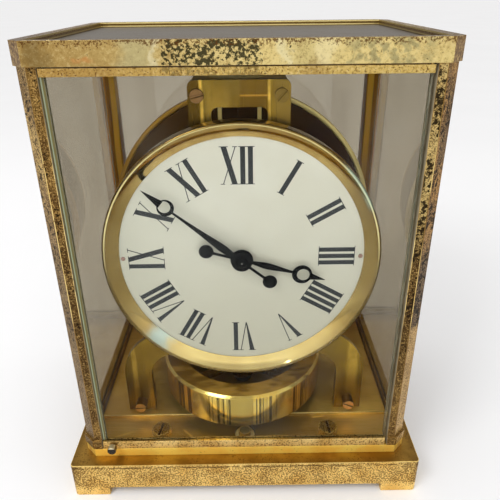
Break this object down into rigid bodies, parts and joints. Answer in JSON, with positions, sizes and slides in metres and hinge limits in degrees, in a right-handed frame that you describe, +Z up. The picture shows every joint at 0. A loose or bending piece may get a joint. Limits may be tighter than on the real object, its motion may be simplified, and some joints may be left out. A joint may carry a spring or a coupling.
{
  "type": "table clock",
  "caption": "Glazed brass table clock with a hinged glass door, Roman dial and a torsion pendulum hanging under a round drum.",
  "frame": {"origin": "middle of the base on the surface it stands on", "axes": "+Z up, the door and dial face -Y, +X to the right as seen from the front"},
  "size_m": [0.18, 0.141, 0.2239],
  "materials": {
    "aged_brass": "lacquered brass, spotted and worn at the edges",
    "gold_brass": "clean gold-plated brass",
    "post_brass": "mottled brown brass",
    "brushed_brass": "brushed brass",
    "polished_brass": "polished brass",
    "copper_screw": "coppery brass",
    "steel": "fine turned steel",
    "dark_mirror": "dark brown polished metal",
    "black_paint": "satin black paint",
    "dial_white": "off-white matt paint",
    "clear_glass": "clear glass"
  },
  "bodies": {
    "case": {"base_plinth": "aged_brass", "base_step": "gold_brass", "rear_foot": "steel", "post_front_left": "post_brass", "post_front_right": "post_brass", "post_rear_left": "post_brass", "post_rear_right": "post_brass", "bottom_rail_left": "aged_brass", "bottom_rail_right": "aged_brass", "bottom_rail_rear": "aged_brass", "top_rail_left": "aged_brass", "top_rail_right": "aged_brass", "top_rail_rear": "aged_brass", "side_glass_left": "clear_glass", "side_glass_right": "clear_glass", "rear_glass": "clear_glass", "lid_frame": "aged_brass", "top_glass": "clear_glass", "movement_bed": "brushed_brass", "front_plate": "brushed_brass", "rear_plate": "brushed_brass", "leg_screw_left": "copper_screw", "leg_screw_right": "copper_screw", "bridge_screw_left": "copper_screw", "bridge_screw_right": "copper_screw", "bed_screw_left": "brushed_brass", "bed_screw_right": "brushed_brass", "bubble_level": "polished_brass", "suspension_bridge": "brushed_brass", "suspension_cap": "polished_brass", "torsion_wire": "steel", "drum_housing": "brushed_brass", "drum_cover": "dark_mirror", "bellows_capsule": "polished_brass", "dial_carrier": "brushed_brass", "dial_plate": "dial_white", "dial_bezel": "polished_brass", "dial_screw_left": "copper_screw", "dial_screw_right": "copper_screw"},
    "door": {"door_bottom_rail": "aged_brass", "door_top_rail": "aged_brass", "door_glass": "clear_glass", "door_knob": "dark_mirror"},
    "minute_body": {"centre_arbor": "steel", "minute_hand": "black_paint"},
    "hour_body": {"hour_hand": "black_paint"},
    "minute_wheel_body": {"minute_wheel": "brushed_brass"},
    "barrel_body": {"barrel": "brushed_brass"},
    "third_wheel_body": {"third_wheel": "brushed_brass"},
    "escape_wheel_body": {"escape_wheel": "polished_brass"},
    "fork_body": {"pallet_fork": "steel"},
    "pendulum": {"pendulum_ring": "polished_brass", "pendulum_spider": "brushed_brass"},
    "bellows_body": {"bellows_plate": "steel"},
    "lock_lever_body": {"lock_lever": "steel"},
    "lock_plunger_body": {"lock_plunger": "steel"},
    "levelling_left_body": {"levelling_foot_left": "steel"},
    "levelling_right_body": {"levelling_foot_right": "steel"}
  },
  "joints": [
    {"name": "door_hinge", "type": "hinge", "parent": "case", "child": "door", "pos_m": [0.0714, -0.0624, 0.12], "axis": [0, 0, 1], "range_deg": [0, 95]},
    {"name": "minute_turn", "type": "hinge", "parent": "case", "child": "minute_body", "pos_m": [0, -0.035, 0.12695], "axis": [0, 1, 0], "continuous": true},
    {"name": "hour_turn", "type": "hinge", "parent": "case", "child": "hour_body", "pos_m": [0, -0.035, 0.12695], "axis": [0, 1, 0], "continuous": true},
    {"name": "minute_wheel_turn", "type": "hinge", "parent": "case", "child": "minute_wheel_body", "pos_m": [-0.00509, -0.035, 0.12186], "axis": [0, 1, 0], "continuous": true},
    {"name": "barrel_turn", "type": "hinge", "parent": "case", "child": "barrel_body", "pos_m": [0, -0.03, 0.10595], "axis": [0, 1, 0], "continuous": true},
    {"name": "third_wheel_turn", "type": "hinge", "parent": "case", "child": "third_wheel_body", "pos_m": [0.00805, -0.03, 0.13889], "axis": [0, 1, 0], "continuous": true},
    {"name": "escape_wheel_turn", "type": "hinge", "parent": "case", "child": "escape_wheel_body", "pos_m": [0, -0.03, 0.15083], "axis": [0, 1, 0], "continuous": true},
    {"name": "fork_rock", "type": "hinge", "parent": "case", "child": "fork_body", "pos_m": [0, -0.03, 0.16223], "axis": [0, 1, 0], "range_deg": [-4, 4]},
    {"name": "pendulum_turn", "type": "hinge", "parent": "case", "child": "pendulum", "pos_m": [-0.0012, -0.01, 0.1], "axis": [0, 0, 1], "range_deg": [-270, 270], "stiffness_Nm_per_rad": 0.000008},
    {"name": "bellows_swell", "type": "slide", "parent": "case", "child": "bellows_body", "axis": [0, -1, 0], "range_m": [0, 0.005]},
    {"name": "lock_lever_swing", "type": "hinge", "parent": "case", "child": "lock_lever_body", "pos_m": [-0.0012, -0.01, 0.012], "axis": [0, 0, 1], "range_deg": [0, 30]},
    {"name": "lock_plunger_lift", "type": "slide", "parent": "case", "child": "lock_plunger_body", "axis": [0, 0, 1], "range_m": [0, 0.0024]},
    {"name": "levelling_left_down", "type": "slide", "parent": "case", "child": "levelling_left_body", "axis": [0, 0, -1], "range_m": [0, 0.004]},
    {"name": "levelling_right_down", "type": "slide", "parent": "case", "child": "levelling_right_body", "axis": [0, 0, -1], "range_m": [0, 0.004]}
  ],
  "couplings": [
    {"joint": "hour_turn", "follows": "minute_turn", "ratio": 0.083333},
    {"joint": "minute_wheel_turn", "follows": "minute_turn", "ratio": -0.33333},
    {"joint": "barrel_turn", "follows": "minute_turn", "ratio": -0.25},
    {"joint": "third_wheel_turn", "follows": "minute_turn", "ratio": -2},
    {"joint": "escape_wheel_turn", "follows": "minute_turn", "ratio": 4},
    {"joint": "lock_plunger_lift", "follows": "lock_lever_swing", "m_per_rad": 0.00458}
  ]
}
